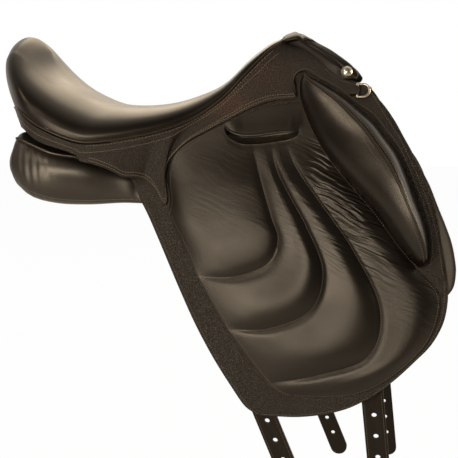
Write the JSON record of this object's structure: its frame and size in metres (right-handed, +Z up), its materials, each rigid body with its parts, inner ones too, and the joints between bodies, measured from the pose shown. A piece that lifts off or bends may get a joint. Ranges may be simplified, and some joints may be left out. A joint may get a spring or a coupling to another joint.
{
  "type": "dressage saddle",
  "caption": "English dressage saddle with a deep seat, long quilted flaps, external thigh blocks, flocked panels, stirrup bars, dee rings and punched girth straps.",
  "frame": {"origin": "on the middle plane, level with the panels' bearing line, under the rear third of the seat", "axes": "+X forward to the pommel, +Y to the saddle's left, +Z up"},
  "size_m": [0.5805, 0.3656, 0.6279],
  "materials": {
    "smooth_leather": "satin",
    "grained_leather": "grained",
    "under_leather": "matte",
    "panel_leather": "satin leather over flocking",
    "piping": "satin",
    "foam": "matte",
    "webbing": "woven",
    "birch_ply": "varnished",
    "steel": "brushed",
    "silver_metal": "polished"
  },
  "bodies": {
    "saddle": {"seat_cover": "smooth_leather", "seat_foam": "foam", "seat_web": "webbing", "seat_welt": "piping", "tree": "birch_ply", "tree_springs": "steel", "tree_rivets": "steel", "head_plate": "steel", "stirrup_bar_right": "steel", "stirrup_bar_left": "steel", "catch_pins": "silver_metal", "bar_rivets": "steel", "skirt_right": "grained_leather", "skirt_left": "grained_leather", "rear_facing": "under_leather", "pommel_cover": "smooth_leather", "pommel_pad": "webbing", "pommel_studs": "silver_metal", "dee_chape_right": "grained_leather", "dee_chape_left": "grained_leather", "flap_right": "grained_leather", "flap_left": "grained_leather", "flap_pad_right": "smooth_leather", "flap_pad_left": "smooth_leather", "slot_lip_right": "smooth_leather", "slot_lip_left": "smooth_leather", "thigh_block_foam_right": "foam", "thigh_block_foam_left": "foam", "thigh_block_cover_right": "smooth_leather", "thigh_block_cover_left": "smooth_leather", "thigh_block_welt_right": "piping", "thigh_block_welt_left": "piping", "panel_right": "panel_leather", "panel_left": "panel_leather", "panel_welt_right": "smooth_leather", "panel_welt_left": "smooth_leather", "panel_wing_right": "under_leather", "panel_wing_left": "under_leather", "girth_web_right": "webbing", "girth_web_left": "webbing"},
    "dee_right": {"dee_ring_right": "silver_metal"},
    "dee_left": {"dee_ring_left": "silver_metal"},
    "catch_right": {"stirrup_catch_right": "silver_metal"},
    "catch_left": {"stirrup_catch_left": "silver_metal"},
    "strap_front_right": {"billet_front_right": "smooth_leather"},
    "strap_front_left": {"billet_front_left": "smooth_leather"},
    "strap_rear_right": {"billet_rear_right": "smooth_leather"},
    "strap_rear_left": {"billet_rear_left": "smooth_leather"}
  },
  "joints": [
    {"name": "dee_swing_left", "type": "hinge", "parent": "saddle", "child": "dee_left", "pos_m": [0.306, 0.09237, 0.141], "axis": [0, -0.3554, 0.9347], "range_deg": [0, 125]},
    {"name": "catch_lift_left", "type": "hinge", "parent": "saddle", "child": "catch_left", "pos_m": [0.1655, 0.08113, 0.11529], "axis": [0, 0.9336, 0.3584], "range_deg": [0, 75]},
    {"name": "strap_front_swing_left", "type": "hinge", "parent": "saddle", "child": "strap_front_left", "pos_m": [0.329, 0.16624, -0.166], "axis": [0.9938, 0, 0.111], "range_deg": [-18, 8]},
    {"name": "strap_rear_swing_left", "type": "hinge", "parent": "saddle", "child": "strap_rear_left", "pos_m": [0.19, 0.16423, -0.186], "axis": [0.9228, 0, 0.3853], "range_deg": [-18, 8]},
    {"name": "dee_swing_right", "type": "hinge", "parent": "saddle", "child": "dee_right", "pos_m": [0.306, -0.09237, 0.141], "axis": [0, -0.3554, -0.9347], "range_deg": [0, 125]},
    {"name": "catch_lift_right", "type": "hinge", "parent": "saddle", "child": "catch_right", "pos_m": [0.1655, -0.08113, 0.11529], "axis": [0, 0.9336, -0.3584], "range_deg": [0, 75]},
    {"name": "strap_front_swing_right", "type": "hinge", "parent": "saddle", "child": "strap_front_right", "pos_m": [0.329, -0.16624, -0.166], "axis": [-0.9938, 0, -0.111], "range_deg": [-18, 8]},
    {"name": "strap_rear_swing_right", "type": "hinge", "parent": "saddle", "child": "strap_rear_right", "pos_m": [0.19, -0.16423, -0.186], "axis": [-0.9228, 0, -0.3853], "range_deg": [-18, 8]}
  ]
}
